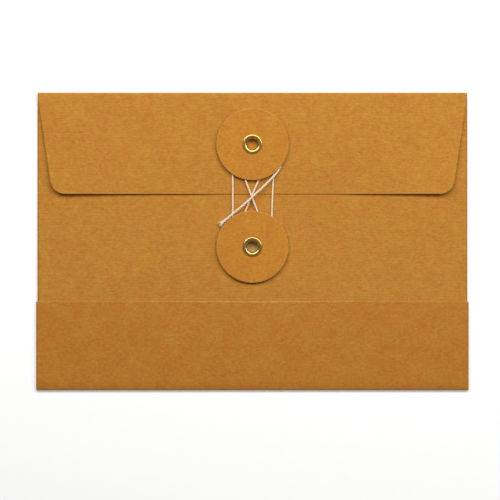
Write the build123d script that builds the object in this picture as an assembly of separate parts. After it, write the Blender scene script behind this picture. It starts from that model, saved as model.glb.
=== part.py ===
from build123d import *
import math
import os

# String tie envelope, closed and lying on its back, in millimetres.
# X runs along its width, +Y points to the top crease and +Z out of the face with the buttons.
# The origin is under the middle of the envelope, on the surface that it lies on.

# Envelope, folded from one kraft blank
envelope_width = 162.0
envelope_height = 112.0
paper = 0.25
pocket_mouth_drop = 6.0
pocket_side_inset = 0.5
side_flap_width = 18.0
side_flap_slant = 6.0
side_flap_end_gap = 0.5
glue_thickness = 0.1
glue_width = 9.0
glue_margin = 3.0

# Closing flap
flap_depth = 38.2
flap_side_inset = 5.8
flap_corner_radius = 5.5
flap_root_gap = 0.3

# Buttons, each turning on an eyelet, with the flap's edge between their rims
button_diameter = 27.2
button_thickness = 0.5
upper_rim_to_flap_edge = 5.1
lower_rim_to_flap_edge = 6.3
button_play = 0.05
button_running_clearance = 0.08
spacer_radius = 6.0
washer_radius = 6.0
washer_thickness = 0.2

# Brass eyelets
eyelet_bore_radius = 2.1
eyelet_wall = 0.25
eyelet_flange_radius = 3.75
eyelet_flange_thickness = 0.45
eyelet_lip_radius = 0.3
eyelet_roll_radius = 3.2
eyelet_roll_thickness = 0.35
eyelet_hole_clearance = 0.05
flap_roll_clearance = 0.1
pocket_roll_clearance = 0.25

# Cotton string
string_diameter = 0.8
string_clearance = 0.1
string_gap = 0.45
string_rim_lead = 0.8
loose_turn_inset = 1.0
tail_exit_angle = 20.0
knot_angle = 215.0
knot_length = 2.0

# Free end of the string, from where it leaves its last turn: along, to the side and up
tail_offsets = [
    (0.0, 0.0, 0.0),
    (2.6, 0.0, 0.35),
    (6.1, -2.0, 1.4),
    (9.8, -4.1, 2.1),
    (13.6, -6.2, 2.6),
    (17.4, -8.4, 2.6),
    (21.2, -10.6, 1.6),
    (25.1, -12.8, 0.5),
    (28.9, -14.9, -0.85),
]

# Paper band round the lower third
band_to_lower_button = 7.0
band_paper = 0.2
band_clearance = 0.1

# Heights of the layers, from the surface up
back_bottom = band_paper + band_clearance
back_top = back_bottom + paper
pocket_bottom = back_top + pocket_roll_clearance + eyelet_roll_thickness + washer_thickness
pocket_top = pocket_bottom + paper
side_top = pocket_bottom - glue_thickness
side_bottom = side_top - paper
band_front_bottom = pocket_top + band_clearance
flap_bottom = pocket_top + flap_roll_clearance + eyelet_roll_thickness + washer_thickness
flap_top = flap_bottom + paper

# Folds: each half ring joins the two sheets that it lies between
side_fold_outer = (side_top - back_bottom) / 2
side_fold_x = envelope_width / 2 - side_fold_outer
bottom_fold_outer = (pocket_top - back_bottom) / 2
bottom_fold_y = bottom_fold_outer - envelope_height / 2
crease_outer = (flap_top - back_bottom) / 2
crease_y = envelope_height / 2 - crease_outer
band_edge_outer = (band_front_bottom + band_paper) / 2

# Edges in plan
pocket_half_width = envelope_width / 2 - pocket_side_inset
pocket_mouth_y = envelope_height / 2 - pocket_mouth_drop
side_flap_low_y = bottom_fold_y + side_flap_end_gap
side_flap_high_y = pocket_mouth_y - side_flap_end_gap
flap_edge_y = envelope_height / 2 - flap_depth
flap_root_y = crease_y - flap_root_gap

# Buttons, the band below them and the heights that the string winds at
button_radius = button_diameter / 2
upper_button_y = flap_edge_y + upper_rim_to_flap_edge + button_radius
lower_button_y = flap_edge_y - lower_rim_to_flap_edge - button_radius
band_low_y = -envelope_height / 2
band_high_y = lower_button_y - button_radius - band_to_lower_button
string_pitch = string_diameter + string_gap
string_seat = string_diameter / 2 + string_clearance
upper_string_z = flap_top + string_seat
crossing_z = upper_string_z + string_pitch
lower_string_z = pocket_top + string_seat
upper_spacer_top = upper_string_z + string_seat
lower_spacer_top = lower_string_z + string_seat
barrel_radius = eyelet_bore_radius + eyelet_wall
paper_hole_radius = barrel_radius + eyelet_hole_clearance
button_hole_radius = barrel_radius + button_running_clearance
lip_radius = min(eyelet_lip_radius, 0.9 * eyelet_flange_thickness)


def plate(outline, bottom, thickness):
    """Flat sheet of one outline, lying at a height."""
    return extrude(Pos(0, 0, bottom) * outline, thickness)


def block(low_x, high_x, low_y, high_y):
    """Rectangle between two corners."""
    return Pos((low_x + high_x) / 2, (low_y + high_y) / 2) * Rectangle(high_x - low_x, high_y - low_y)


def ring(y, outer, bore, bottom, thickness):
    """Flat disc with a round hole, centred on the line of the buttons."""
    return Pos(0, y, 0) * plate(Circle(outer) - Circle(bore), bottom, thickness)


def fold(start, along, outward, outer, thickness, length):
    """Half ring of folded paper that runs along an edge, with its round side outward."""
    half = Pos(outer / 2, 0) * Rectangle(outer, 2 * outer)
    section = (Circle(outer) - Circle(outer - thickness)) & half
    return extrude(Plane(start, x_dir=outward, z_dir=along) * section, length)


def eyelet(y, flange_seat, roll_seat):
    """Brass eyelet: a round-lipped flange above, a barrel, and a rolled end below."""
    top = flange_seat + eyelet_flange_thickness
    bottom = roll_seat - eyelet_roll_thickness
    profile = Polygon(
        (eyelet_bore_radius, bottom),
        (eyelet_roll_radius, bottom),
        (eyelet_roll_radius, roll_seat),
        (barrel_radius, roll_seat),
        (barrel_radius, flange_seat),
        (eyelet_flange_radius, flange_seat),
        (eyelet_flange_radius, top),
        (eyelet_bore_radius, top),
        align=None,
    )
    profile = fillet(profile.vertices().group_by(Axis.Y)[-1], lip_radius)
    return Pos(0, y, 0) * revolve(Plane.XZ * profile, Axis.Z)


def mirrored(half):
    """The same piece on the other side of the envelope."""
    return mirror(half, Plane.YZ)


# Envelope
back_outline = block(-side_fold_x, side_fold_x, bottom_fold_y, crease_y)
back_outline += block(-envelope_width / 2, envelope_width / 2, pocket_mouth_y, crease_y)
back_panel = plate(back_outline, back_bottom, paper)

pocket_outline = block(-pocket_half_width, pocket_half_width, bottom_fold_y, pocket_mouth_y)
pocket_outline -= Pos(0, lower_button_y) * Circle(paper_hole_radius)
pocket_panel = plate(pocket_outline, pocket_bottom, paper)

bottom_fold = fold(
    (-pocket_half_width, bottom_fold_y, back_bottom + bottom_fold_outer),
    (1, 0, 0),
    (0, -1, 0),
    bottom_fold_outer,
    paper,
    2 * pocket_half_width,
)
top_crease = fold(
    (-envelope_width / 2, crease_y, back_bottom + crease_outer),
    (1, 0, 0),
    (0, 1, 0),
    crease_outer,
    paper,
    envelope_width,
)
right_fold = fold(
    (side_fold_x, side_flap_low_y, back_bottom + side_fold_outer),
    (0, 1, 0),
    (1, 0, 0),
    side_fold_outer,
    paper,
    side_flap_high_y - side_flap_low_y,
)

side_flap_free_x = side_fold_x - side_flap_width
side_flap_outline = Polygon(
    (side_fold_x, side_flap_low_y),
    (side_fold_x, side_flap_high_y),
    (side_flap_free_x, side_flap_high_y - side_flap_slant),
    (side_flap_free_x, side_flap_low_y + side_flap_slant),
    align=None,
)
right_side_flap = plate(side_flap_outline, side_bottom, paper)

glue_outline = block(
    side_fold_x - glue_margin - glue_width,
    side_fold_x - glue_margin,
    side_flap_low_y + side_flap_slant,
    side_flap_high_y - side_flap_slant,
)
right_glue_strip = plate(glue_outline, side_top, glue_thickness)

# Closing flap: its sides draw in evenly from the crease to its free edge
flap_root_inset = flap_side_inset * (envelope_height / 2 - flap_root_y) / flap_depth
flap_root_x = envelope_width / 2 - flap_root_inset
flap_edge_x = envelope_width / 2 - flap_side_inset
flap_outline = Polygon(
    (-flap_root_x, flap_root_y),
    (-flap_edge_x, flap_edge_y),
    (flap_edge_x, flap_edge_y),
    (flap_root_x, flap_root_y),
    align=None,
)
flap_outline = fillet(flap_outline.vertices().group_by(Axis.Y)[0], flap_corner_radius)
flap_outline -= Pos(0, upper_button_y) * Circle(paper_hole_radius)
closing_flap = plate(flap_outline, flap_bottom, paper)


# Buttons: a spacer on the paper, the disc that turns above it, and the eyelet through both
def fastening(y, sheet_bottom, sheet_top, spacer_top):
    """Spacer, button, washer and eyelet of one button, on the sheet that carries it."""
    button_bottom = spacer_top + button_play
    flange_seat = button_bottom + button_thickness + button_play
    washer_bottom = sheet_bottom - washer_thickness
    spacer = ring(y, spacer_radius, paper_hole_radius, sheet_top, spacer_top - sheet_top)
    button = ring(y, button_radius, button_hole_radius, button_bottom, button_thickness)
    washer = ring(y, washer_radius, paper_hole_radius, washer_bottom, washer_thickness)
    return spacer, button, washer, eyelet(y, flange_seat, washer_bottom)


upper_spacer, upper_button, upper_washer, upper_eyelet = fastening(
    upper_button_y, flap_bottom, flap_top, upper_spacer_top
)
lower_spacer, lower_button, lower_washer, lower_eyelet = fastening(
    lower_button_y, pocket_bottom, pocket_top, lower_spacer_top
)


# String: arcs round the spacers, straight runs between them, and climbs on two equal arcs
def on_circle(centre_y, radius, angle, z):
    """Point on a circle round a button, at an angle in degrees."""
    turned = math.radians(angle)
    return Vector(radius * math.cos(turned), centre_y + radius * math.sin(turned), z)


def turn(centre_y, radius, start, end, z):
    """Turn round a button from one angle to another, in arcs of a quarter turn at most."""
    count = math.ceil(abs(end - start) / 90)
    step = (end - start) / count
    arcs = []
    for index in range(count):
        angles = [start + (index + share) * step for share in (0, 0.5, 1)]
        arcs.append(ThreePointArc([on_circle(centre_y, radius, angle, z) for angle in angles]))
    return arcs


def strand(begin, end, climbs):
    """Run that is straight in plan; each climb is a start, a finish and the height after it."""
    span = Vector(end.X - begin.X, end.Y - begin.Y, 0)
    heading = span.normalized()

    def at(distance, height):
        return Vector(begin.X, begin.Y, height) + heading * distance

    edges = []
    distance = 0
    height = begin.Z
    for start, finish, new_height in climbs:
        rise = new_height - height
        radius = ((finish - start) ** 2 + rise**2) / (4 * abs(rise))
        half_turn = math.asin((finish - start) / 2 / radius) / 2
        forward = radius * math.sin(half_turn)
        lift = math.copysign(radius * (1 - math.cos(half_turn)), rise)
        middle = at((start + finish) / 2, height + rise / 2)
        edges.append(Line(at(distance, height), at(start, height)))
        edges.append(ThreePointArc(at(start, height), at(start + forward, height + lift), middle))
        edges.append(
            ThreePointArc(middle, at(finish - forward, new_height - lift), at(finish, new_height))
        )
        climb_radii.append(radius)
        distance = finish
        height = new_height
    edges.append(Line(at(distance, height), at(span.length, height)))
    return edges


def crossing(begin, end, other_begin, other_end):
    """Distance along a run, in plan, to where it meets another one."""
    span = end - begin
    other = other_end - other_begin
    offset = other_begin - begin
    share = (offset.X * other.Y - offset.Y * other.X) / (span.X * other.Y - span.Y * other.X)
    return share * math.hypot(span.X, span.Y)


def to_rim(radius):
    """Length of a run from its turn round a spacer to where it comes out from under the button."""
    return math.sqrt((button_radius + string_diameter / 2) ** 2 - radius**2)


climb_radii = []
spacing = upper_button_y - lower_button_y
inner_turn = spacer_radius + string_seat
middle_turn = inner_turn + string_pitch
outer_turn = middle_turn + string_pitch
loose_turn = button_radius - loose_turn_inset
loose_turn_y = upper_button_y + outer_turn - loose_turn

first_slant = math.degrees(math.asin(2 * inner_turn / spacing))
second_slant = math.degrees(math.asin((inner_turn + middle_turn) / spacing))
left_slant = math.degrees(math.asin((outer_turn - middle_turn) / spacing))

first_begin = on_circle(upper_button_y, inner_turn, -first_slant, upper_string_z)
first_end = on_circle(lower_button_y, inner_turn, 180 - first_slant, lower_string_z)
second_begin = on_circle(lower_button_y, inner_turn, second_slant, lower_string_z)
second_end = on_circle(upper_button_y, middle_turn, 180 + second_slant, upper_string_z)
right_begin = on_circle(upper_button_y, middle_turn, 0, upper_string_z)
right_end = on_circle(lower_button_y, middle_turn, 0, lower_string_z)
left_begin = on_circle(lower_button_y, middle_turn, 180 + left_slant, lower_string_z)
left_end = on_circle(upper_button_y, outer_turn, 180 + left_slant, upper_string_z)

first_length = math.hypot(first_end.X - first_begin.X, first_end.Y - first_begin.Y)
second_length = math.hypot(second_end.X - second_begin.X, second_end.Y - second_begin.Y)
first_crossing = crossing(first_begin, first_end, second_begin, second_end)
second_crossing = crossing(second_begin, second_end, first_begin, first_end)
past_flap_y = flap_edge_y - string_seat
first_past_flap = (first_begin.Y - past_flap_y) / math.cos(math.radians(first_slant))
left_to_flap = (past_flap_y - left_begin.Y) / math.cos(math.radians(left_slant))

first_strand = strand(
    first_begin,
    first_end,
    [(
        max(first_past_flap, first_crossing + string_diameter),
        first_length - to_rim(inner_turn) + string_rim_lead,
        lower_string_z,
    )],
)
second_strand = strand(
    second_begin,
    second_end,
    [
        (
            to_rim(inner_turn) - string_rim_lead,
            second_crossing - string_diameter,
            crossing_z,
        ),
        (
            second_crossing + string_diameter,
            second_length - to_rim(middle_turn) + string_rim_lead,
            upper_string_z,
        ),
    ],
)
right_strand = strand(
    right_begin,
    right_end,
    [(right_begin.Y - past_flap_y, spacing - to_rim(middle_turn), lower_string_z)],
)
left_strand = strand(
    left_begin,
    left_end,
    [(to_rim(middle_turn), left_to_flap, upper_string_z)],
)

winding_edges = (
    turn(upper_button_y, inner_turn, knot_angle, -first_slant, upper_string_z)
    + first_strand
    + turn(lower_button_y, inner_turn, 180 - first_slant, 360 + second_slant, lower_string_z)
    + second_strand
    + turn(upper_button_y, middle_turn, 180 + second_slant, 0, upper_string_z)
    + right_strand
    + turn(lower_button_y, middle_turn, 0, left_slant - 180, lower_string_z)
    + left_strand
    + turn(upper_button_y, outer_turn, 180 + left_slant, 90, upper_string_z)
    + turn(loose_turn_y, loose_turn, 90, -tail_exit_angle, upper_string_z)
)
winding_path = Wire(winding_edges)
string_section = Circle(string_diameter / 2)
string_winding = sweep(Plane(winding_path @ 0, z_dir=winding_path % 0) * string_section, winding_path)

# Free end: straight runs joined by arcs as large as the runs allow
tail_start = winding_path @ 1
tail_heading = winding_path % 1
tail_side = Vector(0, 0, 1).cross(tail_heading)
tail_points = [
    tail_start + tail_heading * along + tail_side * side + Vector(0, 0, up)
    for along, side, up in tail_offsets
]


def corner_radii(points):
    """Radius of each corner's arc, from the shorter of its two runs."""
    radii = []
    for before, corner, after in zip(points, points[1:], points[2:]):
        run_in = corner - before
        run_out = after - corner
        half_angle = math.radians(run_in.get_angle(run_out)) / 2
        radii.append(0.45 * min(run_in.length, run_out.length) / math.tan(half_angle))
    return radii


tail_radii = corner_radii(tail_points)
tail_path = FilletPolyline(*tail_points, radius=tail_radii)
string_tail = sweep(Plane(tail_path @ 0, z_dir=tail_path % 0) * string_section, tail_path)

# Knot behind the first turn, swelling into the room that the string has under the button
knot_swell = string_clearance / 2
knot_plane = Plane(winding_path @ 0, z_dir=(winding_path % 0) * -1)
string_knot = extrude(knot_plane * Circle(string_diameter / 2 + knot_swell), knot_length)
string_knot = fillet(string_knot.edges().filter_by(GeomType.CIRCLE), knot_swell)

# Band: front and back sheets joined by a half ring at each side
band_outline = block(-side_fold_x, side_fold_x, band_low_y, band_high_y)
band_back = plate(band_outline, 0, band_paper)
band_front = plate(band_outline, band_front_bottom, band_paper)
band_right_edge = fold(
    (side_fold_x, band_low_y, band_edge_outer),
    (0, 1, 0),
    (1, 0, 0),
    band_edge_outer,
    band_paper,
    band_high_y - band_low_y,
)

pieces = {
    "back_panel": back_panel,
    "pocket_panel": pocket_panel,
    "bottom_fold": bottom_fold,
    "left_fold": mirrored(right_fold),
    "right_fold": right_fold,
    "left_side_flap": mirrored(right_side_flap),
    "right_side_flap": right_side_flap,
    "left_glue_strip": mirrored(right_glue_strip),
    "right_glue_strip": right_glue_strip,
    "top_crease": top_crease,
    "closing_flap": closing_flap,
    "upper_spacer": upper_spacer,
    "upper_button": upper_button,
    "upper_washer": upper_washer,
    "upper_eyelet": upper_eyelet,
    "lower_spacer": lower_spacer,
    "lower_button": lower_button,
    "lower_washer": lower_washer,
    "lower_eyelet": lower_eyelet,
    "string_winding": string_winding,
    "string_tail": string_tail,
    "string_knot": string_knot,
    "band_back": band_back,
    "band_front": band_front,
    "band_left_edge": mirrored(band_right_edge),
    "band_right_edge": band_right_edge,
}

os.makedirs("parts", exist_ok=True)
for name, piece in pieces.items():
    export_step(piece, f"parts/{name}.step")


# Checks on the string, printed
def least_gap(path, diameter):
    """Least gap between stretches of a tube that lie over four diameters apart along it."""
    step = diameter / 3
    count = math.ceil(path.length / step)
    points = [tuple(path @ (index / count)) for index in range(count + 1)]
    apart = math.ceil(4 * diameter / step)
    nearest = min(
        math.dist(point, other)
        for index, point in enumerate(points)
        for other in points[index + apart :]
    )
    return nearest - diameter


section_area = math.pi * string_diameter**2 / 4
for label, tube, path in (
    ("winding", string_winding, winding_path),
    ("tail", string_tail, tail_path),
):
    share = tube.volume / (section_area * path.length)
    print(f"string {label}: length {path.length:.1f} mm, volume over section times length {share:.4f}")
print(f"string: least gap between turns {least_gap(winding_path, string_diameter):.2f} mm")
print("string: climb radii", [round(radius, 2) for radius in climb_radii], "mm")
print("string: tail radii", [round(radius, 1) for radius in tail_radii], "mm")
print(f"buttons at y {upper_button_y:.2f} and {lower_button_y:.2f} mm")
print(f"flap hinge at y {envelope_height / 2:.2f}, z {back_bottom + crease_outer:.3f} mm")
for label, spacer_top, sheet_bottom in (
    ("upper", upper_spacer_top, flap_bottom),
    ("lower", lower_spacer_top, pocket_bottom),
):
    wall_low = sheet_bottom - washer_thickness - eyelet_roll_thickness
    flange_seat = spacer_top + 2 * button_play + button_thickness
    wall_high = flange_seat + eyelet_flange_thickness - lip_radius
    print(f"{label} eyelet bore from z {wall_low:.3f} to {wall_high:.3f} mm")
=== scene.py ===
# %% [markdown]
# # A string tie envelope in kraft paper
# The envelope lies closed on a table, with its string wound in a figure of eight round two paper
# buttons and a paper band round its lower third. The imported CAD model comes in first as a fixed
# frame, and this lesson dresses it: some pieces are modelled anew on top of the frame, and the
# hidden ones keep their CAD shape and only get a finish.

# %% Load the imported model
import math
import random

import bmesh
import bpy
from mathutils import Matrix, Vector


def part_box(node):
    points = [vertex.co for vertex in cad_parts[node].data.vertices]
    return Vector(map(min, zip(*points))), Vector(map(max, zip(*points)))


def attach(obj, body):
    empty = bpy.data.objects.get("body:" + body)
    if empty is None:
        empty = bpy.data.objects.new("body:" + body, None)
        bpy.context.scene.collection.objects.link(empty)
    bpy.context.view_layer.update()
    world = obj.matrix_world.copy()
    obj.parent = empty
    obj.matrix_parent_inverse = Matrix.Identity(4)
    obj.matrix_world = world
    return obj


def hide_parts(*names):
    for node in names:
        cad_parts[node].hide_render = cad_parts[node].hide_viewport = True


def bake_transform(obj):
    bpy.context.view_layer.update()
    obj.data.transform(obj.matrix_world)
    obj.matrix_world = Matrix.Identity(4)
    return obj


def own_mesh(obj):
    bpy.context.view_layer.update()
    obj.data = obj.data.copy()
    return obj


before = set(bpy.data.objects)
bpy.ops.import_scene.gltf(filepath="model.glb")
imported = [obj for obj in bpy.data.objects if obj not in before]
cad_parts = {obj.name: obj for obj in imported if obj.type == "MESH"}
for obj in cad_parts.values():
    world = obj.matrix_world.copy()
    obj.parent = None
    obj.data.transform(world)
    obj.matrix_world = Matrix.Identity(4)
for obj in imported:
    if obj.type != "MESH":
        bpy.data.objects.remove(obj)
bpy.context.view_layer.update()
mm = 0.001
scene = bpy.context.scene
scene.view_settings.view_transform = "Standard"

# %% [markdown]
# ## Camera
# The photograph looks straight down, almost like a scan, so the camera hangs on a copy stand: a
# long lens, far away, over the middle of the picture. A short lens would show the sides of the
# layers, and an orthographic camera doesn't refit itself when the object is seen from elsewhere.

# %% Copy stand camera
picture_width = 188.2 * mm
picture_middle = (-0.9 * mm, -3.3 * mm)
face_height = 2.2 * mm
copy_lens = bpy.data.cameras.new("copy_stand_camera")
copy_lens.lens = 200
copy_stand = bpy.data.objects.new("copy_stand_camera", copy_lens)
camera_distance = picture_width * copy_lens.lens / copy_lens.sensor_width
copy_stand.location = (*picture_middle, face_height + camera_distance)
scene.collection.objects.link(copy_stand)
scene.camera = copy_stand
print("camera stands", round(camera_distance, 3), "m above the envelope")

# %% [markdown]
# ## The string's way round the buttons
# The string is tied under the upper button and goes to and fro between the two buttons: one slanting
# run down, one slanting run up over it, one straight run down and one up, and then a loose turn
# whose end comes out over everything. Its way could be drawn with curve handles, but a NURBS spline
# stays smooth with fewer settings. The turns are worked out by a loop, with control points a
# little outside the turn so that the spline touches it, and the runs and the free end are points
# listed one by one that follow the photograph.

# %% Turns, runs and free end
# places on the route are in millimetres: x, y and height
upper_middle = (0.0, 36.5)
lower_middle = (0.0, -2.1)
upper_level = 2.95
lower_level = 2.03


def string_turn(middle, start, end, first_radius, last_radius, level):
    """Control points of one turn round a button, from one angle in degrees to another."""
    widest_step = 24
    count = math.ceil(abs(end - start) / widest_step)
    step = (end - start) / count
    points = []
    for number in range(count):
        share = (number + 0.5) / count
        angle = math.radians(start + (number + 0.5) * step)
        radius = first_radius + (last_radius - first_radius) * share
        radius /= math.cos(math.radians(step / 2))
        x = middle[0] + radius * math.cos(angle)
        y = middle[1] + radius * math.sin(angle)
        points.append((x, y, level))
    return points


route = string_turn(upper_middle, 215, -23, 6.5, 7.35, upper_level)
route += [(4.86, 29.0, 2.95), (-5.13, 5.5, 2.05)]
route += string_turn(lower_middle, 157, 270, 7.65, 6.55, lower_level)
route += string_turn(lower_middle, 270, 381, 6.55, 6.55, lower_level)
route += [(4.32, 4.93, 2.05), (1.95, 11.1, 2.2), (0.35, 15.25, 3.2)]
route += [(-1.2, 19.3, 3.3), (-5.02, 29.2, 2.95)]
route += string_turn(upper_middle, 201, 0, 7.31, 8.3, upper_level)
route += [(8.07, 30.0, 3.0), (7.28, 10.0, 2.12), (7.35, 4.0, 2.03)]
route += string_turn(lower_middle, 0, -180, 7.45, 8.05, lower_level)
route += [(-7.6, 5.0, 2.03), (-7.38, 11.0, 2.2), (-7.38, 25.5, 2.9), (-7.75, 31.0, 2.95)]
route += string_turn(upper_middle, 184, 90, 8.25, 9.0, upper_level)
route += string_turn(upper_middle, 90, -20, 9.0, 12.7, upper_level)
route += [(10.95, 28.7, 3.05), (9.4, 25.9, 3.25), (6.6, 22.95, 3.9), (2.9, 19.4, 4.1)]
route += [(-2.6, 14.3, 4.1), (-6.0, 11.45, 3.2), (-9.2, 8.8, 2.5), (-12.05, 6.45, 2.1)]
print("route:", len(route), "control points")

# %% Spline of the string
string_line = bpy.data.curves.new("string_line", "CURVE")
string_line.dimensions = "3D"
string_line.resolution_u = 40
spline = string_line.splines.new("NURBS")
spline.points.add(len(route) - 1)
for control, point in zip(spline.points, route):
    control.co = (*[value * mm for value in point], 1)
spline.order_u = 3
spline.use_endpoint_u = True
route_object = bpy.data.objects.new("string_line", string_line)
line_mesh = bpy.data.meshes.new_from_object(route_object)
string_path = [vertex.co.copy() for vertex in line_mesh.vertices]
string_length = sum((b - a).length for a, b in zip(string_path, string_path[1:]))
print("string:", round(string_length / mm, 1), "mm long")

# %% [markdown]
# ## Colours and nodes
# Colours are written as they look on a screen, in sRGB hex, and one function turns them to the
# linear values that Blender calculates with. One more function adds a shader node with its settings
# and fills or links its sockets, so that a material reads from top to bottom like a recipe.

# %% Helpers for materials
def screen_colour(code):
    """An sRGB hex colour as linear red, green, blue and alpha."""
    channels = [int(code[place : place + 2], 16) / 255 for place in (1, 3, 5)]
    linear = [c / 12.92 if c <= 0.04045 else ((c + 0.055) / 1.055) ** 2.4 for c in channels]
    return (*linear, 1.0)


def add_node(tree, kind, settings=None, inputs=None):
    """One node with its own settings, and its sockets set to a value or linked."""
    node = tree.nodes.new(kind)
    for name, value in (settings or {}).items():
        setattr(node, name, value)
    for name, value in (inputs or {}).items():
        if isinstance(value, bpy.types.NodeSocket):
            tree.links.new(value, node.inputs[name])
        else:
            node.inputs[name].default_value = value
    return node


def new_material(name):
    """An empty node material, with the place on the piece that its patterns start from."""
    material = bpy.data.materials.new(name)
    material.use_nodes = True
    material.node_tree.nodes.clear()
    place = add_node(material.node_tree, "ShaderNodeTexCoord").outputs["Object"]
    return material, material.node_tree, place


def put_on(tree, surface):
    """Ends a material's recipe in its output."""
    add_node(tree, "ShaderNodeOutputMaterial", inputs={"Surface": surface.outputs[0]})


print("kraft brown in linear light:", [round(c, 3) for c in screen_colour("#C48638")])

# %% [markdown]
# ## Cotton string
# The string is three plies of soft cotton yarn twisted together, off-white and without gloss. The
# twist is real geometry below. One even colour on it would look like plastic, so the finish adds what
# the yarn gives: a slight change between ivory and cream along its length, fibres that are too
# fine to count, and a soft sheen at the edges.

# %% Material: twisted cotton
cotton, tree, place = new_material("twisted_cotton_yarn")
# yarn fibres are about 0.02 mm; drawn at 0.12 mm so that they show
fibre = add_node(
    tree, "ShaderNodeTexNoise", inputs={"Vector": place, "Scale": 1 / (0.12 * mm), "Detail": 3}
)
# the yarn changes between ivory and cream every 3 mm or so
soil = add_node(
    tree, "ShaderNodeTexNoise", inputs={"Vector": place, "Scale": 1 / (3 * mm), "Detail": 2}
)
blend = add_node(
    tree,
    "ShaderNodeMix",
    {"data_type": "RGBA"},
    {0: soil.outputs[0], 6: screen_colour("#FDE4C6"), 7: screen_colour("#FFF0D8")},
)
value = add_node(
    tree, "ShaderNodeMapRange", inputs={0: fibre.outputs[0], 1: 0.3, 2: 0.7, 3: 0.94, 4: 1.04}
)
shade = add_node(
    tree, "ShaderNodeHueSaturation", inputs={"Value": value.outputs[0], "Color": blend.outputs[2]}
)
relief = add_node(
    tree, "ShaderNodeBump", inputs={"Strength": 0.5, "Distance": 0.03 * mm, "Height": fibre.outputs[0]}
)
yarn = add_node(
    tree,
    "ShaderNodeBsdfPrincipled",
    inputs={
        "Base Color": shade.outputs[0],
        "Roughness": 0.9,
        "Specular IOR Level": 0.2,
        "Sheen Weight": 0.3,
        "Sheen Roughness": 0.5,
        "Normal": relief.outputs[0],
    },
)
put_on(tree, yarn)
print("made", cotton.name)

# %% [markdown]
# ## Twisting the string
# A smooth tube would look like wire, and a twist that is only bump would be missing from the mesh. So
# the string is laid as a ropemaker does: each of the three plies runs in a helix round the route's
# line, one turn every 2.6 mm. The free end isn't under tension, so its plies swell and lie looser, and
# at the cut they open. The line's points come from the spline itself, at an even spacing.

# %% Points along the string
point_spacing = 0.22 * mm


def even_points(line, spacing):
    """Points along a line at an even spacing, with their distance from its start."""
    points = []
    walked = 0.0
    wanted = 0.0
    for start, end in zip(line, line[1:]):
        reach = (end - start).length
        while reach > 0 and wanted <= walked + reach:
            points.append((start.lerp(end, (wanted - walked) / reach), wanted))
            wanted += spacing
        walked += reach
    return points


def across(line, number):
    """Two directions square to a line at one of its points: sideways and upwards."""
    before = line[max(number - 1, 0)][0]
    after = line[min(number + 1, len(line) - 1)][0]
    along = (after - before).normalized()
    sideways = Vector((0, 0, 1)).cross(along).normalized()
    return sideways, along.cross(sideways)


string_points = even_points(string_path, point_spacing)
print("string:", len(string_points), "points along its line")

# %% Three plies
# points that lie closer than a hairline count as one
hairline = 1e-4 * mm
ply_radius = 0.215 * mm
ply_offset = 0.15 * mm
lay_length = 2.6 * mm
slack_length = 34 * mm
slack_swelling = 0.4
slack_loosening = 0.5
open_length = 3.6 * mm
open_loosening = 2.2
paper_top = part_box("pocket_panel")[1][2]


def tube_mesh(name, points, radius, roundness=1, swelling=None, closed=False):
    """A thin round tube along points, as a mesh, thicker at each point by its swelling."""
    tube = bpy.data.curves.new(name, "CURVE")
    tube.dimensions = "3D"
    tube.bevel_depth = radius
    tube.bevel_resolution = roundness
    tube.use_fill_caps = True
    thread = tube.splines.new("POLY")
    thread.points.add(len(points) - 1)
    for control, point, swell in zip(thread.points, points, swelling or [1.0] * len(points)):
        control.co = (*point, 1)
        control.radius = swell
    thread.use_cyclic_u = closed
    return bpy.data.meshes.new_from_object(bpy.data.objects.new(name, tube))


def weld_caps(bm):
    """Joins the caps of tubes to their ends and shades the tubes smoothly."""
    bmesh.ops.remove_doubles(bm, verts=bm.verts, dist=hairline)
    bmesh.ops.recalc_face_normals(bm, faces=bm.faces)
    for face in bm.faces:
        face.smooth = True


def new_piece(bm, name, materials):
    """Turns a finished bmesh into an object of the scene."""
    mesh = bpy.data.meshes.new(name)
    bm.to_mesh(mesh)
    bm.free()
    piece = bpy.data.objects.new(name, mesh)
    for material in materials:
        mesh.materials.append(material)
    scene.collection.objects.link(piece)
    return piece


string_bm = bmesh.new()
for ply in range(3):
    helix = []
    swelling = []
    for number, (point, walked) in enumerate(string_points):
        sideways, upwards = across(string_points, number)
        angle = 2 * math.pi * (walked / lay_length + ply / 3)
        slack = max(0.0, 1 - (string_length - walked) / slack_length)
        opened = max(0.0, 1 - (string_length - walked) / open_length)
        swell = 1 + slack_swelling * slack
        offset = ply_offset * (1 + slack_loosening * slack + open_loosening * opened**2)
        strand = point + offset * (math.cos(angle) * sideways + math.sin(angle) * upwards)
        strand.z = max(strand.z, paper_top + ply_radius * swell)
        helix.append(strand)
        swelling.append(swell)
    string_bm.from_mesh(tube_mesh("ply", helix, ply_radius, swelling=swelling))
weld_caps(string_bm)
string = new_piece(string_bm, "twisted_string", [cotton])
print("string:", len(string.data.polygons), "faces")

# %% [markdown]
# ## Frayed end and knot
# The free end was cut with scissors, and cotton frays there: about a hundred thin fibres fan out past
# the cut. Hair particles could draw them, but they aren't mesh, so each fibre is a thin tube with its
# own direction, from a seeded random order so that every run gives the same end. The knot at the
# other end hides under the upper button; it is an overhand knot, whose line is a trefoil.

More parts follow.
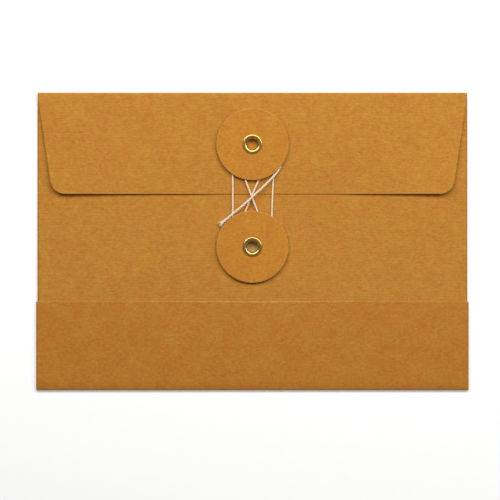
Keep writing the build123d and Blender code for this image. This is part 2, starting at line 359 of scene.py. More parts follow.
# %% Frayed end
fray = random.Random(7)
fibre_count = 110
fibre_radius = 0.04 * mm
fray_root = 0.9 * mm
fray_radius = 0.55 * mm
end_point = string_points[-1][0]
end_heading = (end_point - string_points[-8][0]).normalized()
end_side, end_up = across(string_points, len(string_points) - 1)
fray_bm = bmesh.new()
for number in range(fibre_count):
    angle = fray.uniform(0, 2 * math.pi)
    share = math.sqrt(fray.uniform(0, 1))
    spread = fray.uniform(0.2, 0.8)
    reach = fray.uniform(0.7, 1.9) * mm
    outward = share * (math.cos(angle) * end_side + max(math.sin(angle), -0.25) * end_up)
    start = end_point - fray_root * end_heading + fray_radius * outward
    middle = start + 0.5 * reach * (end_heading + 0.4 * spread * outward)
    tip = start + reach * (end_heading + spread * outward)
    tip.z = max(tip.z, paper_top + fibre_radius)
    fray_bm.from_mesh(tube_mesh("fibre", [start, middle, tip], fibre_radius, roundness=0))
weld_caps(fray_bm)
frayed_end = new_piece(fray_bm, "frayed_string_end", [cotton])
print("fray:", len(frayed_end.data.polygons), "faces")

# %% Knot
knot_points = 48
knot_width = 0.3 * mm
knot_height = 0.2 * mm
knot_yarn_radius = 0.3 * mm
knot_middle = string_points[0][0]
knot_line = []
for number in range(knot_points):
    angle = 2 * math.pi * number / knot_points
    x = knot_width * (math.sin(angle) + 2 * math.sin(2 * angle))
    y = knot_width * (math.cos(angle) - 2 * math.cos(2 * angle))
    z = -knot_height * math.sin(3 * angle)
    knot_line.append(knot_middle + Vector((x, y, z)))
knot_bm = bmesh.new()
knot_bm.from_mesh(tube_mesh("knot", knot_line, knot_yarn_radius, closed=True))
weld_caps(knot_bm)
knot = new_piece(knot_bm, "string_knot_under_button", [cotton])
print("knot:", len(knot.data.polygons), "faces")

# %% The string on the flap
for piece in (string, frayed_end, knot):
    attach(piece, "flap")
# the string and its frayed end each get a mesh of their own
for piece in (string, frayed_end):
    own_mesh(piece)
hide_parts("string_winding", "string_tail")
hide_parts("string_knot")

# %% [markdown]
# ## Kraft paper
# Kraft paper is made from long unbleached wood fibres, drained on a wire and dried hard, and left
# without a coating. The eye sees a warm brown that clouds slowly between orange and olive, fine
# fibres that mostly lie along the sheet, faint ribs from the machine, a few darker flecks,
# and hardly any gloss. Its reverse, which the photograph shows through the lower eyelet, is paler and
# greyer. A scanned sheet would bring its own light along and repeat, so the paper is mixed from
# noise, each layer at about its real size. One recipe serves both sides of the envelope, the heavier
# board of the buttons and the band, with its own colours for each.

# %% Material: kraft paper, board and band
def pattern_scale(*sizes):
    """How often a pattern repeats in a metre, for its sizes in millimetres along x, y and z."""
    return tuple(1 / (size * mm) for size in sizes)


def kraft(name, pale, deep, rib_depth, fleck_depth):
    """Unbleached kraft of pale fibres on a deep ground, with ribs and flecks of some depth."""
    material, tree, place = new_material(name)
    # fibres are 2 to 3 mm long and 0.03 mm thick; their tangle is drawn 1 mm coarse so that it shows
    lying = add_node(
        tree, "ShaderNodeMapping", inputs={"Vector": place, "Scale": pattern_scale(1.316, 1.02, 1.02)}
    )
    fibre = add_node(
        tree,
        "ShaderNodeTexNoise",
        inputs={"Vector": lying.outputs[0], "Scale": 1, "Detail": 2, "Roughness": 0.85},
    )
    # thicker tufts of fibre, 2 to 3 mm, lie across the rest
    crossing = add_node(
        tree,
        "ShaderNodeMapping",
        inputs={
            "Vector": place,
            "Rotation": (0, 0, math.radians(55)),
            "Scale": pattern_scale(3.03, 2.38, 2.38),
        },
    )
    tuft = add_node(
        tree,
        "ShaderNodeTexNoise",
        inputs={"Vector": crossing.outputs[0], "Scale": 1, "Detail": 1, "Roughness": 0.8},
    )
    # ribs are 1.05 mm apart; the wave's own period is 0.314 units
    rib = add_node(
        tree,
        "ShaderNodeTexWave",
        {"wave_type": "BANDS", "bands_direction": "Y"},
        {"Vector": place, "Scale": 0.314 / (1.05 * mm), "Distortion": 6, "Detail": 2, "Detail Scale": 1},
    )
    tangle = add_node(
        tree,
        "ShaderNodeMath",
        {"operation": "MULTIPLY_ADD"},
        {0: tuft.outputs[0], 1: 0.2, 2: fibre.outputs[0]},
    )
    ribbed = add_node(
        tree,
        "ShaderNodeMath",
        {"operation": "MULTIPLY_ADD"},
        {0: rib.outputs[1], 1: rib_depth, 2: tangle.outputs[0]},
    )
    # pale and deep are half and half at the pattern's middle height
    middle_height = 0.6 + rib_depth / 2
    half_range = 0.375
    share = add_node(
        tree,
        "ShaderNodeMapRange",
        inputs={0: ribbed.outputs[0], 1: middle_height - half_range, 2: middle_height + half_range},
    )
    ground = add_node(
        tree,
        "ShaderNodeMix",
        {"data_type": "RGBA"},
        {0: share.outputs[0], 6: screen_colour(deep), 7: screen_colour(pale)},
    )
    # clouds of thicker and thinner stock are 5 to 15 mm across
    cloud = add_node(
        tree,
        "ShaderNodeTexNoise",
        inputs={"Vector": place, "Scale": 1 / (11 * mm), "Detail": 3, "Roughness": 0.6},
    )
    tone = add_node(
        tree, "ShaderNodeMapRange", inputs={0: cloud.outputs[0], 1: 0.3, 2: 0.7, 3: 0.978, 4: 1.022}
    )
    # flecks of bark, up to 0.7 mm long, in some of the cells
    cell = add_node(
        tree, "ShaderNodeMapping", inputs={"Vector": place, "Scale": pattern_scale(3.33, 1.92, 1.92)}
    )
    fleck = add_node(tree, "ShaderNodeTexVoronoi", inputs={"Vector": cell.outputs[0], "Scale": 1})
    dark = add_node(
        tree,
        "ShaderNodeMapRange",
        inputs={0: fleck.outputs["Distance"], 1: 0.06, 2: 0.22, 3: 1 - fleck_depth, 4: 1.0},
    )
    depth = add_node(
        tree, "ShaderNodeMath", {"operation": "MULTIPLY"}, {0: tone.outputs[0], 1: dark.outputs[0]}
    )
    # the hue drifts between orange and olive every 4 or 5 mm
    drift = add_node(
        tree, "ShaderNodeTexNoise", inputs={"Vector": place, "Scale": 1 / (4.4 * mm), "Detail": 1}
    )
    hue = add_node(
        tree, "ShaderNodeMapRange", inputs={0: drift.outputs[0], 1: 0.3, 2: 0.7, 3: 0.4954, 4: 0.5046}
    )
    brown = add_node(
        tree,
        "ShaderNodeHueSaturation",
        inputs={"Hue": hue.outputs[0], "Value": depth.outputs[0], "Color": ground.outputs[2]},
    )
    matt = add_node(
        tree, "ShaderNodeMapRange", inputs={0: fibre.outputs[0], 1: 0.3, 2: 0.7, 3: 0.68, 4: 0.84}
    )
    relief = add_node(
        tree,
        "ShaderNodeBump",
        inputs={"Strength": 0.35, "Distance": 0.025 * mm, "Height": ribbed.outputs[0]},
    )
    paper = add_node(
        tree,
        "ShaderNodeBsdfPrincipled",
        inputs={
            "Base Color": brown.outputs[0],
            "Roughness": matt.outputs[0],
            "Specular IOR Level": 0.12,
            "Normal": relief.outputs[0],
        },
    )
    put_on(tree, paper)
    return material


kraft_paper = kraft("kraft_envelope_paper", "#D99844", "#B57420", rib_depth=0.1, fleck_depth=0.1)
paper_reverse = kraft("kraft_paper_reverse", "#CBAB70", "#AA8950", rib_depth=0.1, fleck_depth=0.1)
kraft_board = kraft("kraft_button_board", "#DE973F", "#B8731A", rib_depth=0.06, fleck_depth=0.08)
band_paper = kraft("kraft_band_paper", "#D4903F", "#B36E1C", rib_depth=0.04, fleck_depth=0.08)
cut_edge = kraft("kraft_cut_edge", "#DEA964", "#BF8840", rib_depth=0.0, fleck_depth=0.05)
papers = (kraft_paper, paper_reverse, kraft_board, band_paper, cut_edge)
print("made", [paper.name for paper in papers])

# %% [markdown]
# ## Sheets of paper
# A sheet starts as a fine grid, so that it can bend. Planes trim it to its outline, a square of cells
# round an eyelet gives way to a round hole, and then its points move up and down as the
# paper does. A cloth simulation could bend it too, but a formula gives the same sheet on every run.
# Only after that does it get its thickness: a modifier gives the wall with its reverse and its pale cut
# edge, and on the envelope's own sheets another one rounds the edge, because even thin paper
# catches light there.

# %% Tools for flat sheets
def corners(node):
    """Lowest and highest corner of a CAD node as vectors."""
    low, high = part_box(node)
    return Vector(low), Vector(high)


def grid_sheet(low, high, cell):
    """A fine flat grid between two corners, at the middle height between them."""
    bm = bmesh.new()
    size = high - low
    columns = 2 * round(size.x / cell / 2)
    rows = round(size.y / cell)
    bmesh.ops.create_grid(bm, x_segments=columns, y_segments=rows, size=0.5)
    bmesh.ops.scale(bm, vec=(size.x, size.y, 1), verts=bm.verts)
    bmesh.ops.translate(bm, vec=(low + high) / 2, verts=bm.verts)
    return bm


def trim(bm, point, outward):
    """Cuts away what lies outside a plane."""
    everything = bm.verts[:] + bm.edges[:] + bm.faces[:]
    bmesh.ops.bisect_plane(
        bm, geom=everything, dist=hairline, plane_co=point, plane_no=outward, clear_outer=True
    )


def punch(bm, middle, radius, clear):
    """Takes a square of cells out and draws its border in to a round hole."""
    gone = []
    for face in bm.faces:
        centre = face.calc_center_median()
        if abs(centre.x - middle.x) < clear and abs(centre.y - middle.y) < clear:
            gone.append(face)
    border = [edge for edge in bm.edges if sum(face in gone for face in edge.link_faces) == 1]
    bmesh.ops.delete(bm, geom=gone, context="FACES")
    drawn = bmesh.ops.extrude_edge_only(bm, edges=border)["geom"]
    for item in drawn:
        if isinstance(item, bmesh.types.BMVert):
            item.co = middle + radius * (item.co - middle).normalized()
    bmesh.ops.recalc_face_normals(bm, faces=bm.faces)


def ease(share):
    """A soft rise from 0 to 1."""
    share = min(max(share, 0.0), 1.0)
    return share * share * (3 - 2 * share)


pocket_low, pocket_high = corners("pocket_panel")
paper_thickness = pocket_high.z - pocket_low.z
print("paper:", round(paper_thickness / mm, 2), "mm thick")

# %% Tools for folds and walls
def border_points(border):
    """The points of a border's edges, each of them once."""
    return list(dict.fromkeys(vertex for edge in border for vertex in edge.verts))


def draw_border(bm, border, move):
    """Draws a border on by one straight move and gives its new edges."""
    drawn = bmesh.ops.extrude_edge_only(bm, edges=border)["geom"]
    points = {item for item in drawn if isinstance(item, bmesh.types.BMVert)}
    bmesh.ops.translate(bm, vec=move, verts=list(points))
    edges = [item for item in drawn if isinstance(item, bmesh.types.BMEdge)]
    return [edge for edge in edges if points.issuperset(edge.verts)]


def fold_on(bm, border, middle, stretch):
    """Folds a border a quarter turn down round a middle, stretches the fold and gives its new border."""
    before = set(bm.verts)
    line = border_points(border) + border
    spun = bmesh.ops.spin(bm, geom=line, cent=middle, axis=(1, 0, 0), angle=math.pi / 2, steps=12)
    bend = [vertex for vertex in bm.verts if vertex not in before]
    bmesh.ops.scale(bm, vec=stretch, verts=bend, space=Matrix.Translation(-middle))
    return [item for item in spun["geom_last"] if isinstance(item, bmesh.types.BMEdge)]


def face_outward(bm):
    """Makes the faces of a sheet agree, with the outer side of its highest part looking up."""
    bmesh.ops.recalc_face_normals(bm, faces=bm.faces)
    highest = max(bm.faces, key=lambda face: face.calc_center_median().z)
    if highest.normal.z < 0:
        bmesh.ops.reverse_faces(bm, faces=bm.faces)


def thicken(piece, thickness):
    """Gives a sheet its wall with its reverse and its pale cut edge."""
    for polygon in piece.data.polygons:
        polygon.use_smooth = True
    wall = piece.modifiers.new("paper_wall", "SOLIDIFY")
    wall.thickness = thickness
    wall.offset = 0
    wall.material_offset_rim = 1
    wall.material_offset = len(piece.data.materials) - 1


def soften(piece):
    """Rounds the cut edges of a sheet."""
    edge = piece.modifiers.new("soft_edge", "BEVEL")
    edge.width = 0.06 * mm
    edge.segments = 2
    edge.use_clamp_overlap = False
    edge.limit_method = "ANGLE"
    edge.angle_limit = math.radians(50)
    edge.harden_normals = True


fold_low, fold_high = corners("bottom_fold")
print("bottom fold:", round((fold_high.z - fold_low.z) / mm, 2), "mm high")

# %% [markdown]
# ## Pocket, bottom fold and back
# The front of the pocket carries the lower button. On the table it lies nearly flat, but paper
# never lies quite flat, so it rises and falls by about a tenth of a millimetre in long
# soft waves, which the light shows as slow changes of tone. The waves die out at the folds, at the
# button and under the band. At the bottom the sheet was folded over and rubbed down by hand: it
# starts to sink a few millimetres before the fold and then turns under tightly. One round bend would
# be too even there, so it is folded on in two quarter turns, a long flat one and a short steep one.
# From there it is drawn on as the envelope's back, which widens above the pocket's mouth to the full
# width of the crease.

# %% Front of the pocket
paper_hole = 2.4 * mm
wave_height = 0.11 * mm
lower_hole = Vector((lower_middle[0] * mm, lower_middle[1] * mm, (pocket_low.z + pocket_high.z) / 2))
bm = grid_sheet(pocket_low, pocket_high, cell=2.2 * mm)
punch(bm, lower_hole, paper_hole, clear=6.2 * mm)
for vertex in bm.verts:
    x, y = vertex.co.x / mm, vertex.co.y / mm
    # in millimetres: where the waves end at the sides, the band and the mouth, and how softly
    inside = ease((78 - abs(x)) / 12) * ease((y + 22) / 10) * ease((50 - y) / 6)
    off_button = ease((math.hypot(x - lower_middle[0], y - lower_middle[1]) - 8) / 10)
    wave = 0.5 + 0.3 * math.sin(x / 13 + y / 31) + 0.2 * math.sin(x / 7.5 - y / 12 + 1.3)
    vertex.co.z += wave_height * wave * inside * off_button
print("pocket front:", len(bm.faces), "faces")

# %% Bottom fold and back
fold_level = (fold_low.z + fold_high.z) / 2
fold_height = lower_hole.z - fold_level
fold_front = pocket_low.y - 0.25 * mm
sinking_line = pocket_low.y + 3.35 * mm
trim(bm, (0, sinking_line, 0), (0, -1, 0))
lowest = {vertex for vertex in bm.verts if vertex.co.y < sinking_line + hairline}
border = [edge for edge in bm.edges if lowest.issuperset(edge.verts)]
long_stretch = (1, (sinking_line - fold_front) / fold_height, 1)
border = fold_on(bm, border, Vector((0, sinking_line, fold_level)), long_stretch)
short_stretch = (1, 1, fold_height / (pocket_low.y - fold_front))
border = fold_on(bm, border, Vector((0, pocket_low.y, fold_level)), short_stretch)
side_line = corners("right_fold")[0].x
back_high = corners("back_panel")[1]
widening = 0.15 * mm
border = draw_border(bm, border, (0, pocket_high.y - widening - pocket_low.y, 0))
bmesh.ops.scale(bm, vec=(side_line / pocket_high.x, 1, 1), verts=border_points(border))
border = draw_border(bm, border, (0, widening, 0))
bmesh.ops.scale(bm, vec=(back_high.x / side_line, 1, 1), verts=border_points(border))
draw_border(bm, border, (0, back_high.y - pocket_high.y, 0))
face_outward(bm)
pocket = new_piece(bm, "pocket_and_back", [kraft_paper, cut_edge, paper_reverse])
thicken(pocket, paper_thickness)
soften(pocket)
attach(pocket, "envelope")
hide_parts("pocket_panel", "bottom_fold", "back_panel")
print("pocket and back:", len(pocket.data.polygons), "faces")

# %% [markdown]
# ## Side folds
# At its sides the back is folded over to the side flaps. A bevelled box edge would be solid, and a
# fold is hollow: each one is a line along the envelope's side, spun half a turn. It runs up to the
# pocket's mouth, where the closing flap's wider root begins.

# %% Side folds
def side_fold(name, node, side):
    """The folded edge at one side of the envelope, side is -1 for the left and 1 for the right."""
    low, high = corners(node)
    line_x = low.x if side > 0 else high.x
    level = low.z + paper_thickness / 2
    bm = bmesh.new()
    ends = [bm.verts.new((line_x, end_y, level)) for end_y in (low.y, pocket_high.y)]
    line = [bm.edges.new(ends)]
    middle = (line_x, 0, (low.z + high.z) / 2)
    bmesh.ops.spin(bm, geom=ends + line, cent=middle, axis=(0, 1, 0), angle=-side * math.pi, steps=12)
    face_outward(bm)
    fold = new_piece(bm, name, [kraft_paper, cut_edge, paper_reverse])
    thicken(fold, paper_thickness)
    soften(fold)
    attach(fold, "envelope")
    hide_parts(node)
    return fold


side_folds = [
    side_fold("left_folded_edge", "left_fold", -1),
    side_fold("right_folded_edge", "right_fold", 1),
]
print("side folds:", [len(fold.data.polygons) for fold in side_folds], "faces")

# %% [markdown]
# ## Closing flap and its crease
# The flap's sides draw in towards its free edge and its two corners are round. A boolean cut would
# leave long thin faces that shade badly, so a fan of planes trims each corner, like the nibbles of a
# round cutter. The string pulls the free edge down on the pocket, from the middle to the
# right of it, and the corners spring up by about a millimetre, which is why its shadow is thin in the
# middle and wide at the ends. At the top the same sheet bends round the thickness of the pocket: its
# edge is spun half a turn.

# %% Outline of the flap
flap_low, flap_high = corners("closing_flap")
crease_low, crease_high = corners("top_crease")
crease_line = crease_low.y
flap_corner = 5.5 * mm
corner_cuts = 12
flap_root_x = 80.79 * mm
flap_edge_x = 75.2 * mm


def close_up(bm, reach):
    """Merges points that trimming has left closer than a reach, with those of the outline kept."""
    bmesh.ops.remove_doubles(bm, verts=[vertex for vertex in bm.verts if vertex.is_boundary], dist=reach)
    outline = [vertex for vertex in bm.verts if vertex.is_boundary]
    doubles = bmesh.ops.find_doubles(bm, verts=bm.verts, keep_verts=outline, dist=reach)
    bmesh.ops.weld_verts(bm, targetmap=doubles["targetmap"])


sheet_low = Vector((crease_low.x, flap_low.y, flap_low.z))
sheet_high = Vector((crease_high.x, crease_line, flap_high.z))
bm = grid_sheet(sheet_low, sheet_high, cell=2.0 * mm)
side_lean = math.atan2(flap_root_x - flap_edge_x, flap_high.y - flap_low.y)
corner_inset = flap_corner * (math.cos(side_lean) - math.tan(side_lean) * (1 - math.sin(side_lean)))
for side in (-1, 1):
    side_outward = (side * math.cos(side_lean), -math.sin(side_lean), 0)
    trim(bm, (side * flap_edge_x, flap_low.y, 0), side_outward)
    centre = Vector((side * (flap_edge_x - corner_inset), flap_low.y + flap_corner, 0))
    for step in range(1, corner_cuts):
        angle = -math.pi / 2 + (math.pi / 2 - side_lean) * step / corner_cuts
        outward = Vector((side * math.cos(angle), math.sin(angle), 0))
        trim(bm, centre + flap_corner * outward, outward)
close_up(bm, reach=0.25 * mm)
print("flap outline:", sum(edge.is_boundary for edge in bm.edges), "edges")

# %% Bent flap and crease
# how far the flap bends down and up, in millimetres
press_depth = 0.44
spring_height = 1.6
ripple_height = 0.06
upper_hole = Vector((upper_middle[0] * mm, upper_middle[1] * mm, (flap_low.z + flap_high.z) / 2))
punch(bm, upper_hole, paper_hole, clear=6.1 * mm)
for vertex in bm.verts:
    x, y = vertex.co.x / mm, vertex.co.y / mm
    along = (crease_line - vertex.co.y) / (crease_line - flap_low.y)
    # in millimetres: where the pressed stretch ends, and how softly
    pressed = ease((x + 23) / 14) * ease((43 - x) / 13) * ease((29 - y) / 11.2)
    sprung = (abs(x) / 75) ** 4 * along**2
    off_button = ease((math.hypot(x - upper_middle[0], y - upper_middle[1]) - 8) / 10)
    ripple = (math.sin(x / 12 + 0.8) + math.sin(x / 19 - y / 9)) * off_button * ease(along * 5)
    vertex.co.z += mm * (spring_height * sprung - press_depth * pressed + ripple_height * ripple)
root = [vertex for vertex in bm.verts if vertex.co.y > crease_line - hairline]
root_edges = [edge for edge in bm.edges if all(vertex in root for vertex in edge.verts)]
crease_middle = (0, crease_line, (crease_low.z + crease_high.z) / 2)
bmesh.ops.spin(
    bm, geom=root + root_edges, cent=crease_middle, axis=(1, 0, 0), angle=-math.pi, steps=16
)
bmesh.ops.remove_doubles(bm, verts=bm.verts, dist=hairline)
face_outward(bm)
flap = new_piece(bm, "closing_flap_sheet", [kraft_paper, cut_edge, paper_reverse])
thicken(flap, paper_thickness)
soften(flap)
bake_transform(flap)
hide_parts("closing_flap", "top_crease")
print("flap:", len(flap.data.polygons), "faces")

# %% [markdown]
# ## Buttons
# The buttons are punched from kraft board half a millimetre thick. The punch leaves a slightly
# rounded upper edge and a paler, fibrous cut. A cylinder with a boolean hole would have the shape but
# not the clean rings of faces that a bevel needs. So each is a rectangle of four points, spun once
# round the button's middle; its edges are then bevelled and its walls get the finish of the cut.

# %% Buttons
def board_button(name, node, body):
    """A punched board disc in the place of one CAD button."""
    low, high = corners(node)
    middle = (low + high) / 2
    outer = (high.x - low.x) / 2
    hole = 2.43 * mm
    shoulder_width = 0.32 * mm
    edge_width = 0.08 * mm
    bm = bmesh.new()
    section = [(hole, low.z), (outer, low.z), (outer, high.z), (hole, high.z)]
    points = [bm.verts.new((middle.x + radius, middle.y, height)) for radius, height in section]
    edges = [bm.edges.new((points[number], points[(number + 1) % 4])) for number in range(4)]
    line = points + edges
    bmesh.ops.spin(
        bm, geom=line, cent=middle, axis=(0, 0, 1), angle=2 * math.pi, steps=120, use_merge=True
    )
    bmesh.ops.remove_doubles(bm, verts=bm.verts, dist=hairline)
    bmesh.ops.recalc_face_normals(bm, faces=bm.faces)
    sharp = [edge for edge in bm.edges if edge.calc_face_angle(0) > math.radians(60)]
    # the upper rim is the sharp ring above the middle that has the longer edges
    upper_rings = [edge for edge in sharp if edge.verts[0].co.z > middle.z]
    shoulder = [edge for edge in upper_rings if edge.calc_length() > 0.4 * mm]
    others = [edge for edge in sharp if edge not in shoulder]
    for ring, width in ((shoulder, shoulder_width), (others, edge_width)):
        bmesh.ops.bevel(
            bm,
            geom=ring,
            offset=width,
            offset_type="OFFSET",
            segments=5,
            profile=0.5,
            affect="EDGES",
            material=-1,
        )
    # faces that lean by more than about 20 degrees show the cut
    for face in bm.faces:
        face.smooth = True
        face.material_index = 1 if abs(face.normal.z) < 0.93 else 0
    button = new_piece(bm, name, [kraft_board, cut_edge])
    smooth = button.modifiers.new("even_light", "WEIGHTED_NORMAL")
    smooth.keep_sharp = False
    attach(button, body)
    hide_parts(node)
    return button


buttons = [
    board_button("upper_board_button", "upper_button", "upper_disc"),
    board_button("lower_board_button", "lower_button", "lower_disc"),
]
print("buttons:", [len(button.data.polygons) for button in buttons], "faces")

# %% [markdown]
# ## Lacquered brass
# An eyelet's brass is tumbled smooth and lacquered: the ring looks a deep olive gold, and the clear
# lacquer makes its highlights paler. Bare metal in the shader would reflect everything in
# gold, so a clear coat lies over it, which reflects the light without a tint.

# %% Material: lacquered brass
brass, tree, place = new_material("lacquered_brass")
# tarnish clouds of 1.5 mm, and tumbling scratches of 0.02 mm drawn at 0.15 mm so that they show
tarnish = add_node(
    tree, "ShaderNodeTexNoise", inputs={"Vector": place, "Scale": 1 / (1.5 * mm), "Detail": 3}
)
scratch = add_node(
    tree, "ShaderNodeTexNoise", inputs={"Vector": place, "Scale": 1 / (0.15 * mm), "Detail": 2}
)
gold = add_node(
    tree,
    "ShaderNodeMix",
    {"data_type": "RGBA"},
    {0: tarnish.outputs[0], 6: screen_colour("#E8BC5A"), 7: screen_colour("#F2CC72")},
)
polish = add_node(
    tree, "ShaderNodeMapRange", inputs={0: tarnish.outputs[0], 1: 0.3, 2: 0.7, 3: 0.19, 4: 0.24}
)
relief = add_node(
    tree,
    "ShaderNodeBump",
    inputs={"Strength": 0.05, "Distance": 0.01 * mm, "Height": scratch.outputs[0]},
)
metal = add_node(
    tree,
    "ShaderNodeBsdfPrincipled",
    inputs={
        "Base Color": gold.outputs[2],
        "Metallic": 1.0,
        "Roughness": polish.outputs[0],
        "Coat Weight": 1.0,
        "Coat Roughness": 0.06,
        "Normal": relief.outputs[0],
    },
)
put_on(tree, metal)
print("made", brass.name)

# %% [markdown]
# ## Eyelets
# An eyelet is a little tube of thin brass: its front rim is pressed to a low round crown, and its end
# is rolled outwards behind the paper. A ring on a tube would show a seam between the two. So it
# is modelled as it is made, as one line: up over the outer shoulder, across the nearly flat ring, over
# the inner shoulder, down the barrel and outwards in the roll. The line is spun once round and gets
# the sheet's thickness.

# %% Eyelets
brass_wall = 0.25 * mm


def bend_on(bm, vertex, middle, angle, flatten=1.0):
    """Spins a line on from its last point round a middle, flattens the bend and gives its new end."""
    before = set(bm.verts)
    spun = bmesh.ops.spin(bm, geom=[vertex], cent=middle, axis=(0, 1, 0), angle=angle, steps=10)
    bend = [point for point in bm.verts if point not in before]
    bmesh.ops.scale(bm, vec=(1, 1, flatten), verts=bend, space=Matrix.Translation(-middle))
    return next(item for item in spun["geom_last"] if isinstance(item, bmesh.types.BMVert))


def draw_on(bm, vertex, move):
    """Draws a line straight on from its last point and gives its new end."""
    drawn = bmesh.ops.extrude_vert_indiv(bm, verts=[vertex])["verts"]
    bmesh.ops.translate(bm, vec=move, verts=drawn)
    return drawn[0]


def brass_eyelet(name, node, body):
    """A crowned and rolled eyelet in the place of one CAD eyelet."""
    low, high = corners(node)
    middle = (low + high) / 2
    flange = (high.x - low.x) / 2 - brass_wall / 2
    bore = 2.1 * mm
    barrel = bore + brass_wall / 2
    outer_shoulder = 0.3 * mm
    inner_shoulder = 0.55 * mm
    half_flat = (flange - barrel - outer_shoulder - inner_shoulder) / 2
    crown = high.z - brass_wall / 2
    crown_rise = 0.02 * mm
    roll_radius = 0.43 * mm
    roll_flatness = 0.22
    roll_depth = 0.22 * mm
    bm = bmesh.new()
    end = bm.verts.new((middle.x + flange, middle.y, crown - outer_shoulder))
    bend_middle = Vector((middle.x + flange - outer_shoulder, middle.y, end.co.z))
    end = bend_on(bm, end, bend_middle, -math.pi / 2)
    for rise in (crown_rise, -crown_rise):
        end = draw_on(bm, end, (-half_flat, 0, rise))
    bend_middle = Vector((middle.x + barrel + inner_shoulder, middle.y, crown - inner_shoulder))
    end = bend_on(bm, end, bend_middle, -math.pi / 2)
    end = draw_on(bm, end, (0, 0, low.z + roll_depth - end.co.z))
    bend_middle = Vector((middle.x + barrel + roll_radius, middle.y, end.co.z))
    bend_on(bm, end, bend_middle, -math.pi, roll_flatness)
    line = bm.verts[:] + bm.edges[:]
    bmesh.ops.spin(
        bm, geom=line, cent=middle, axis=(0, 0, 1), angle=2 * math.pi, steps=96, use_merge=True
    )
    bmesh.ops.remove_doubles(bm, verts=bm.verts, dist=hairline)
    bmesh.ops.recalc_face_normals(bm, faces=bm.faces)
    for face in bm.faces:
        face.smooth = True
    eyelet = new_piece(bm, name, [brass])
    wall = eyelet.modifiers.new("brass_wall", "SOLIDIFY")
    wall.thickness = brass_wall
    wall.offset = 0
    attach(eyelet, body)
    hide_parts(node)
    return eyelet


eyelets = [
    brass_eyelet("upper_brass_eyelet", "upper_eyelet", "flap"),
    brass_eyelet("lower_brass_eyelet", "lower_eyelet", "envelope"),
]
print("eyelets:", [len(eyelet.data.polygons) for eyelet in eyelets], "faces")

# %% [markdown]
# ## Paper band
# The band is a strip of kraft paper wrapped once round the envelope. A box would be solid, and the band
# has to slide off, so it is a hollow loop: one line along the front, half a turn at each side and one
# line along the back. The loop is drawn out along the band's height. Its lower margin is rubbed down
# over the envelope's bottom fold, in the same flat curve. Its upper margin is pressed down a little,
# and a strip of the paler cut colour is painted along its top face, wider than the cut and widest in
# the middle: partly the cut's own colour, partly a painted highlight along the edge.

# %% Loop of the band
front_low, front_high = corners("band_front")
back_low, back_high = corners("band_back")
band_thickness = front_high.z - front_low.z
front_level = (front_low.z + front_high.z) / 2
back_level = (back_low.z + back_high.z) / 2
band_middle = (front_level + back_level) / 2
bm = bmesh.new()
for side, edge_x in ((1, front_high.x), (-1, front_low.x)):
    start = bm.verts.new((edge_x, front_low.y, front_level))
    turned = (edge_x, front_low.y, band_middle)
    bmesh.ops.spin(bm, geom=[start], cent=turned, axis=(0, 1, 0), angle=side * math.pi, steps=12)
loose_ends = [vertex for vertex in bm.verts if len(vertex.link_edges) == 1]
flat_edges = []
for level in (front_level, back_level):
    flat_edges.append(bm.edges.new([end for end in loose_ends if abs(end.co.z - level) < hairline]))
bmesh.ops.subdivide_edges(bm, edges=flat_edges, cuts=79)
lower_steps = [0.05 * mm] * 10 + [0.1 * mm] * 10 + [0.25 * mm] * 10
pale_strip_width = 0.32 * mm
upper_steps = [0.1 * mm] * 5 + [pale_strip_width]
body_steps = [(front_high.y - front_low.y - sum(lower_steps + upper_steps)) / 20] * 20
border = bm.edges[:]
for step in lower_steps + body_steps + upper_steps:
    border = draw_border(bm, border, (0, step, 0))
print("band loop:", round((front_high.y - front_low.y) / mm, 1), "mm high")

# %% Margins of the band
rubbed_line = front_low.y + sum(lower_steps)
# the curve reaches a little past the margin, so that its end isn't upright
rubbed_reach = sum(lower_steps) + 0.06 * mm
press_line = front_high.y - sum(upper_steps)
band_press_depth = 0.09 * mm
pale_strip_line = front_high.y - pale_strip_width
# the share of its width that the painted highlight strip loses towards the band's sides, and the
# distance over which it does
highlight_narrowing = 0.88
highlight_half_length = 28 * mm
row_slack = 0.01 * mm
for vertex in bm.verts:
    if vertex.co.z > front_level - hairline and vertex.co.y > press_line:
        vertex.co.z -= band_press_depth * ((vertex.co.y - press_line) / sum(upper_steps)) ** 4
        # the row that bounds the pale strip moves up towards the sides, so that the painted highlight
        # narrows there
        if abs(vertex.co.y - pale_strip_line) < row_slack:
            off_middle = 1 - math.exp(-((vertex.co.x / highlight_half_length) ** 2))
            vertex.co.y += highlight_narrowing * pale_strip_width * off_middle
    if vertex.co.z > band_middle and vertex.co.y < rubbed_line:
        past = (rubbed_line - vertex.co.y) / rubbed_reach
        vertex.co.z = band_middle + (vertex.co.z - band_middle) * math.sqrt(1 - past**2)
# the faces along the cut take the pale cut colour: partly the cut's own colour, partly a painted
# highlight along the edge
for face in bm.faces:
    in_pale_strip = max(vertex.co.y for vertex in face.verts) > front_high.y - row_slack
    if in_pale_strip and face.calc_center_median().z > front_level - band_press_depth - row_slack:
        face.material_index = 1
face_outward(bm)
band = new_piece(bm, "paper_band_loop", [band_paper, cut_edge, band_paper])
thicken(band, band_thickness)
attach(band, "band")
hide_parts("band_front", "band_back", "band_left_edge", "band_right_edge")
print("band:", len(band.data.polygons), "faces")

# %% [markdown]
# ## Pieces that keep their CAD shape
# The side flaps, the spacers and the washers are plain cut paper, and their CAD shape is already
# right. They could be modelled anew, but they lie inside, so they only take the same papers as the
# rest. The glue between the side flaps and the pocket panel is dried starch paste: a thin, yellowish,
# slightly shiny film.

# %% Material: dried paste
paste, tree, place = new_material("dried_starch_paste")
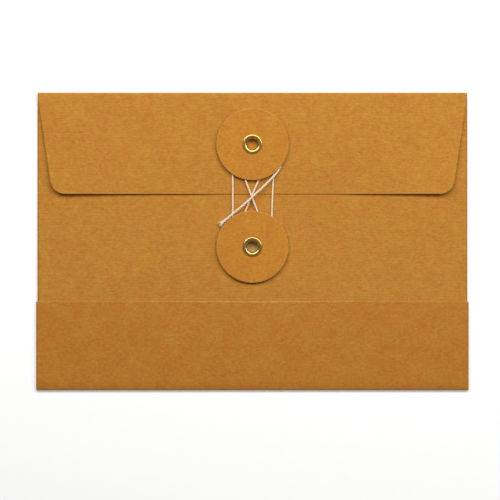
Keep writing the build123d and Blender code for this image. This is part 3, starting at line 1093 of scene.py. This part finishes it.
# the brush leaves streaks about 2 mm wide
streak = add_node(
    tree, "ShaderNodeTexNoise", inputs={"Vector": place, "Scale": 1 / (2 * mm), "Detail": 3}
)
film = add_node(
    tree,
    "ShaderNodeMix",
    {"data_type": "RGBA"},
    {0: streak.outputs[0], 6: screen_colour("#C9A468"), 7: screen_colour("#E2C68E")},
)
shine = add_node(tree, "ShaderNodeMapRange", inputs={0: streak.outputs[0], 3: 0.3, 4: 0.55})
crust = add_node(
    tree,
    "ShaderNodeBsdfPrincipled",
    inputs={"Base Color": film.outputs[2], "Roughness": shine.outputs[0]},
)
put_on(tree, crust)
print("made", paste.name)

# %% Finish of the CAD nodes
plain_nodes = {
    kraft_paper: ["left_side_flap", "right_side_flap", "upper_washer", "lower_washer"],
    kraft_board: ["upper_spacer", "lower_spacer"],
    paste: ["left_glue_strip", "right_glue_strip"],
}
for material, names in plain_nodes.items():
    for name in names:
        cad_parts[name].material_slots[0].material = material
    print(material.name, "on", len(names), "nodes")

# %% [markdown]
# ## Light
# The photograph is lit like a scan: a long soft strip of light from beyond the top edge, fairly high,
# and little else. A sun would draw hard shadows and only a spark on the brass. The strip draws the
# thin shadows below the buttons and the flap and the two bright arcs on the brass, and a dim
# world fills the shadows.

# %% Light
strip = bpy.data.lights.new("strip_light", "AREA")
strip.shape = "RECTANGLE"
strip.size = 1.0
strip.size_y = 0.23
strip.energy = 3.33
strip_stand = bpy.data.objects.new("strip_light", strip)
strip_stand.location = (0.04, 0.25, 0.42)
strip_aim = Vector((0, -0.01, 0)) - strip_stand.location
strip_stand.rotation_euler = strip_aim.to_track_quat("-Z", "Y").to_euler()
strip_stand.visible_camera = False
scene.collection.objects.link(strip_stand)

room = bpy.data.worlds.new("dim_room")
room.use_nodes = True
room.node_tree.nodes["Background"].inputs["Color"].default_value = screen_colour("#FFFFFF")
room.node_tree.nodes["Background"].inputs["Strength"].default_value = 0.14
scene.world = room
print("strip light:", strip.energy, "W at", [round(v, 2) for v in strip_stand.location])

# %% [markdown]
# ## Floor
# The floor is a large sheet of white paper. More light would make it whiter, but would bleach the
# envelope too. So it shines a little of its own towards the camera, more so farther out, where the
# strip's light falls off, and the envelope's shadow still shows on it.

# %% Material: white floor paper
floor_paper, tree, place = new_material("white_floor_paper")
# only what the camera sees, directly, mirrored or through glass, shines
rays = add_node(tree, "ShaderNodeLightPath")
seen = add_node(
    tree,
    "ShaderNodeMath",
    {"operation": "ADD"},
    {0: rays.outputs["Is Camera Ray"], 1: rays.outputs["Is Glossy Ray"]},
)
seen_or_through = add_node(
    tree,
    "ShaderNodeMath",
    {"operation": "ADD", "use_clamp": True},
    {0: seen.outputs[0], 1: rays.outputs["Is Transmission Ray"]},
)
# the strip's light falls off away from the envelope, and the floor's own light makes up for it
glow_start = 160 * mm
glow_full = 700 * mm
glow_near = 0.26
glow_far = 0.95
away = add_node(tree, "ShaderNodeVectorMath", {"operation": "LENGTH"}, {0: place})
glow = add_node(
    tree,
    "ShaderNodeMapRange",
    inputs={0: away.outputs["Value"], 1: glow_start, 2: glow_full, 3: glow_near, 4: glow_far},
)
own_light = add_node(
    tree,
    "ShaderNodeMath",
    {"operation": "MULTIPLY"},
    {0: seen_or_through.outputs[0], 1: glow.outputs[0]},
)
# the sheet's clouds are about 4 mm
grain = add_node(
    tree, "ShaderNodeTexNoise", inputs={"Vector": place, "Scale": 1 / (4 * mm), "Detail": 2}
)
white = add_node(
    tree,
    "ShaderNodeMix",
    {"data_type": "RGBA"},
    {0: grain.outputs[0], 6: screen_colour("#F9F9F8"), 7: screen_colour("#FDFDFC")},
)
sheet = add_node(
    tree,
    "ShaderNodeBsdfPrincipled",
    inputs={
        "Base Color": white.outputs[2],
        "Roughness": 0.8,
        "Specular IOR Level": 0.1,
        "Emission Color": screen_colour("#FFFFFF"),
        "Emission Strength": own_light.outputs[0],
    },
)
put_on(tree, sheet)
print("made", floor_paper.name)

# %% Floor
floor_half_width = 4
floor_gap = 0.02 * mm
floor_bm = bmesh.new()
bmesh.ops.create_grid(floor_bm, x_segments=1, y_segments=1, size=floor_half_width)
bmesh.ops.translate(floor_bm, vec=(0, 0, -floor_gap), verts=floor_bm.verts)
floor = new_piece(floor_bm, "white_floor", [floor_paper])
print("floor:", [round(side, 1) for side in floor.dimensions])
